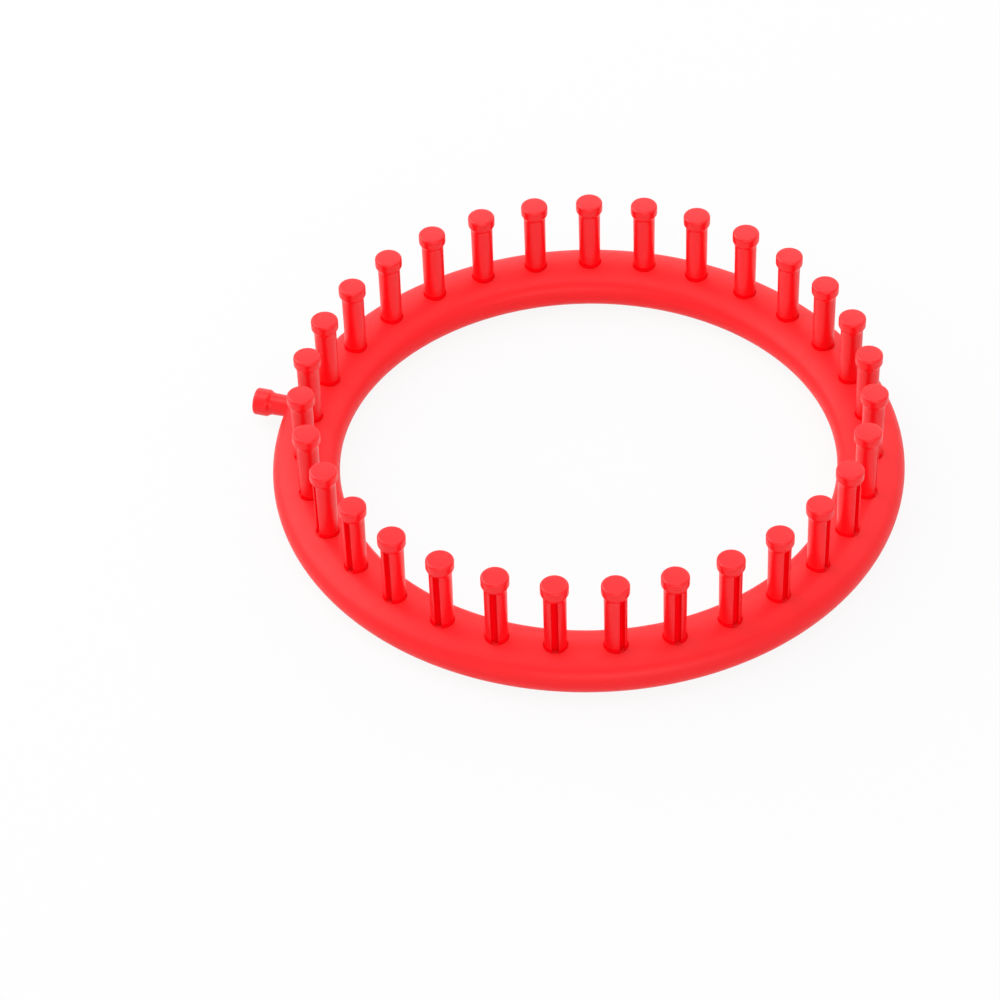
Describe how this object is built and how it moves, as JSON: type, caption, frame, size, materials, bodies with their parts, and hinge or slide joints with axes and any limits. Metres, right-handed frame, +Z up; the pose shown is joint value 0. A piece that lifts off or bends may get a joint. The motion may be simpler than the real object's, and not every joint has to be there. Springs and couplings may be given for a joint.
{
  "type": "round knitting loom",
  "caption": "Round knitting loom: a hollow rounded plastic ring with a circle of upright grooved, round-headed pegs on top and one anchor peg standing out of its side.",
  "frame": {"origin": "centre of the ring, on the plane that the ring rests on", "axes": "+Z up along the ring's centre line; -Y towards the person knitting; the anchor peg points out at 164.5 degrees from +X, anticlockwise seen from above"},
  "size_m": [0.2508, 0.241, 0.0464],
  "materials": {
    "ring_plastic": "satin, injection moulded",
    "peg_plastic": "satin, injection moulded"
  },
  "bodies": {
    "root": {"ring_top_shell": "ring_plastic", "ring_bottom_shell": "ring_plastic", "anchor_peg": "peg_plastic", "peg_01": "peg_plastic", "peg_02": "peg_plastic", "peg_03": "peg_plastic", "peg_04": "peg_plastic", "peg_05": "peg_plastic", "peg_06": "peg_plastic", "peg_07": "peg_plastic", "peg_08": "peg_plastic", "peg_09": "peg_plastic", "peg_10": "peg_plastic", "peg_11": "peg_plastic", "peg_12": "peg_plastic", "peg_13": "peg_plastic", "peg_14": "peg_plastic", "peg_15": "peg_plastic", "peg_16": "peg_plastic", "peg_17": "peg_plastic", "peg_18": "peg_plastic", "peg_19": "peg_plastic", "peg_20": "peg_plastic", "peg_21": "peg_plastic", "peg_22": "peg_plastic", "peg_23": "peg_plastic", "peg_24": "peg_plastic", "peg_25": "peg_plastic", "peg_26": "peg_plastic", "peg_27": "peg_plastic", "peg_28": "peg_plastic", "peg_29": "peg_plastic", "peg_30": "peg_plastic", "peg_31": "peg_plastic"}
  },
  "joints": []
}
